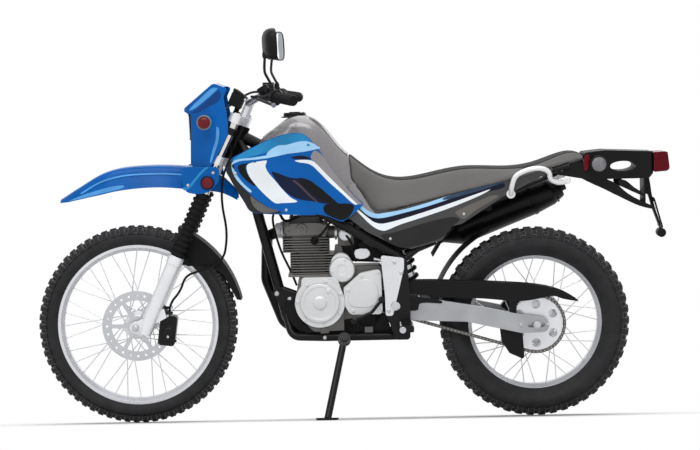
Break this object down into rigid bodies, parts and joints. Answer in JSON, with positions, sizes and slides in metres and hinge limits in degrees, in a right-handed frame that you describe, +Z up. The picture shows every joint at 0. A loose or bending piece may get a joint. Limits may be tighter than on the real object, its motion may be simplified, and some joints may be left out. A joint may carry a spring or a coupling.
{
  "type": "dual sport motorcycle",
  "caption": "Dual sport motorcycle on its side stand: spoked wheels with knobbly tyres, high front mudguard, long flat seat and upswept muffler.",
  "frame": {"origin": "on the ground under the middle of the whole machine's box", "axes": "+X rearwards along the machine, +Y to the rider's right, +Z up; the machine leans 9 degrees to its left, onto its stand"},
  "size_m": [2.1626, 0.8318, 1.3781],
  "materials": {
    "tyre_rubber": "matte",
    "bare_alloy": "satin",
    "steel": "satin",
    "fork_silver": "gloss",
    "black_rubber": "matte",
    "black_frame": "satin",
    "black_plastic": "matte",
    "blue_plastic": "gloss",
    "tank_silver": "gloss",
    "seat_cover": "matte",
    "side_grey": "satin",
    "engine_case": "satin",
    "engine_fins": "satin",
    "exhaust_black": "matte",
    "lens_clear": "gloss",
    "lens_red": "gloss",
    "rail_silver": "gloss",
    "chain_steel": "satin"
  },
  "bodies": {
    "chassis": {"drive_chain": "chain_steel", "main_frame": "black_frame", "pivot_covers": "bare_alloy", "rear_subframe": "black_frame", "swingarm": "bare_alloy", "swingarm_pivot": "steel", "rear_shock": "black_frame", "rear_axle": "steel", "rear_caliper": "black_frame", "crankcase": "engine_fins", "cylinder": "engine_fins", "cylinder_head": "engine_fins", "left_engine_covers": "engine_case", "right_engine_cover": "engine_case", "carburettor": "bare_alloy", "airbox": "black_plastic", "exhaust_header": "exhaust_black", "muffler": "exhaust_black", "fuel_tank": "tank_silver", "fuel_cap": "black_plastic", "seat": "seat_cover", "side_covers": "side_grey", "tank_shrouds": "blue_plastic", "rear_fender": "black_plastic", "tail_light": "lens_red", "rear_signals": "lens_clear", "plate_bracket": "black_plastic", "grab_rails": "rail_silver", "chain_guard": "black_plastic", "chain_guide": "black_plastic", "footpegs": "steel", "foot_controls": "steel"},
    "fork": {"fork_lowers": "fork_silver", "fork_stanchions": "fork_silver", "fork_gaiters": "black_rubber", "front_axle": "steel", "triple_clamps": "black_frame", "handlebar": "steel", "grips": "black_rubber", "levers": "black_frame", "mirrors": "black_plastic", "headlight_cowl": "blue_plastic", "headlight": "lens_clear", "instrument": "black_plastic", "lamp_stays": "black_frame", "front_signals": "lens_clear", "front_mudguard": "blue_plastic", "leg_guard": "black_plastic", "front_caliper": "black_frame", "brake_hose": "black_rubber"},
    "front_wheel": {"front_tyre": "tyre_rubber", "front_rim": "bare_alloy", "front_hub": "bare_alloy", "front_disc": "steel"},
    "rear_wheel": {"rear_tyre": "tyre_rubber", "rear_rim": "bare_alloy", "rear_hub": "bare_alloy", "rear_disc": "steel", "rear_sprocket": "chain_steel"},
    "stand": {"side_stand": "black_frame"}
  },
  "joints": [
    {"name": "steering", "type": "hinge", "parent": "chassis", "child": "fork", "pos_m": [-0.4173, 0.04029, 0.89809], "axis": [0.4129, -0.1423, 0.8996], "range_deg": [-40, 40]},
    {"name": "front_wheel_spin", "type": "hinge", "parent": "fork", "child": "front_wheel", "pos_m": [-0.74004, 0.12884, 0.33841], "axis": [-0.0003, 0.9877, 0.1564], "continuous": true},
    {"name": "rear_wheel_spin", "type": "hinge", "parent": "chassis", "child": "rear_wheel", "pos_m": [0.61999, 0.13134, 0.32536], "axis": [-0.0003, 0.9877, 0.1564], "continuous": true},
    {"name": "side_stand_swing", "type": "hinge", "parent": "chassis", "child": "stand", "pos_m": [-0.03391, 0.03212, 0.27288], "axis": [-0.0007, -0.9455, 0.3256], "range_deg": [0, 92]}
  ]
}
